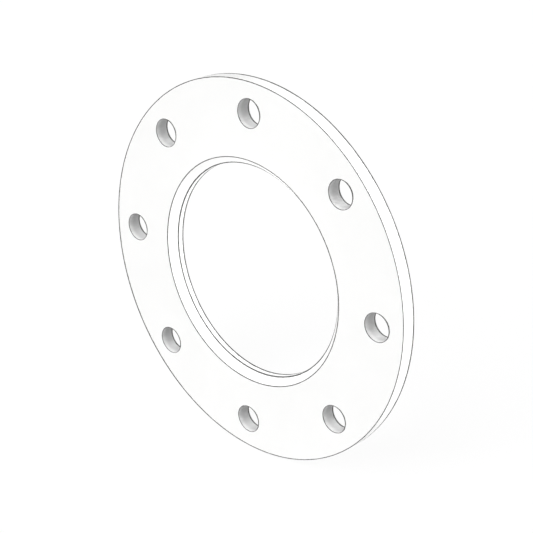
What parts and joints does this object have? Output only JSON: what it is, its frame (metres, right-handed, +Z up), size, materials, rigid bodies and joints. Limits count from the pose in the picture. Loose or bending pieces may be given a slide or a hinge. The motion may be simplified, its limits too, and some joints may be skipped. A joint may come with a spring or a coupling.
{
  "type": "plate flange",
  "caption": "Flat round pipe flange plate in white-coated steel, with a bevelled weld bore and a ring of plain bolt holes.",
  "frame": {"origin": "on the bore axis, halfway through the plate's thickness", "axes": "Y along the bore axis with the weld bevel opening towards -Y, +Z up and +X to the right when the bevelled face is seen; the bolt circle's first hole is on +X"},
  "size_m": [0.25, 0.0096, 0.25],
  "materials": {
    "coated_steel": "satin white powder coat on steel, worn to bare grey metal in a thin line along the edges, with bare drilled walls in the bolt holes"
  },
  "bodies": {
    "root": {"flange_plate": "coated_steel"}
  },
  "joints": []
}
